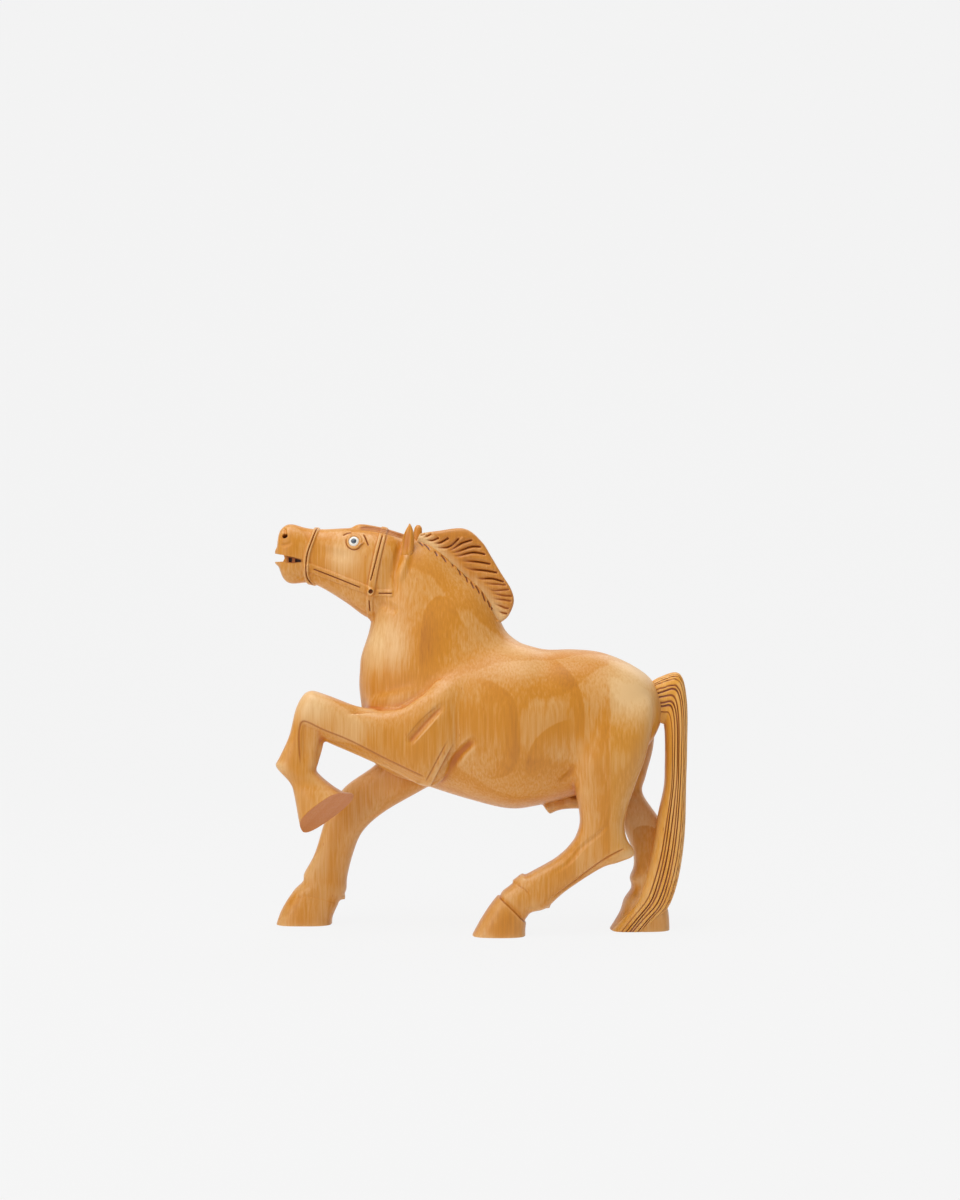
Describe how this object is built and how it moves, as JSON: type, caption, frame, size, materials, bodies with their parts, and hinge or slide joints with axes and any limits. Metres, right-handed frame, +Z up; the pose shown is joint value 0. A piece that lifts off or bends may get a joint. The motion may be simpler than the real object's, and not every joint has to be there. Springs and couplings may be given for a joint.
{
  "type": "carved wooden horse figurine",
  "caption": "Free-standing carved horse with a raised foreleg, arched neck, open mouth, relief bridle, grooved mane and a long grooved tail that reaches the ground.",
  "frame": {"origin": "middle of the footprint's bounding box, on the surface that the horse stands on", "axes": "+Z up, -X the way the horse faces, -Y its left side, which the raised foreleg is on"},
  "size_m": [0.2066, 0.0623, 0.2025],
  "materials": {
    "carved_wood": "satin clear finish on honey-coloured softwood",
    "hair_wood": "satin, grooved, a deeper orange-brown",
    "eye_white": "polished white inlay",
    "eye_dark": "polished dark grey inlay",
    "dowel_wood": "plain beech dowel, hidden in the joints"
  },
  "bodies": {
    "root": {"barrel": "carved_wood", "rump": "carved_wood", "neck": "carved_wood", "head": "carved_wood", "left_ear": "carved_wood", "right_ear": "carved_wood", "left_foreleg": "carved_wood", "right_foreleg": "carved_wood", "left_hind_leg": "carved_wood", "right_hind_leg": "carved_wood", "mane": "hair_wood", "tail": "hair_wood", "left_eye": "eye_white", "right_eye": "eye_white", "left_pupil": "eye_dark", "right_pupil": "eye_dark", "rump_dowel_upper": "dowel_wood", "rump_dowel_lower": "dowel_wood", "neck_dowel_front": "dowel_wood", "neck_dowel_rear": "dowel_wood", "head_dowel": "dowel_wood", "left_foreleg_dowel": "dowel_wood", "right_foreleg_dowel": "dowel_wood", "left_hind_leg_dowel": "dowel_wood", "right_hind_leg_dowel": "dowel_wood"}
  },
  "joints": []
}
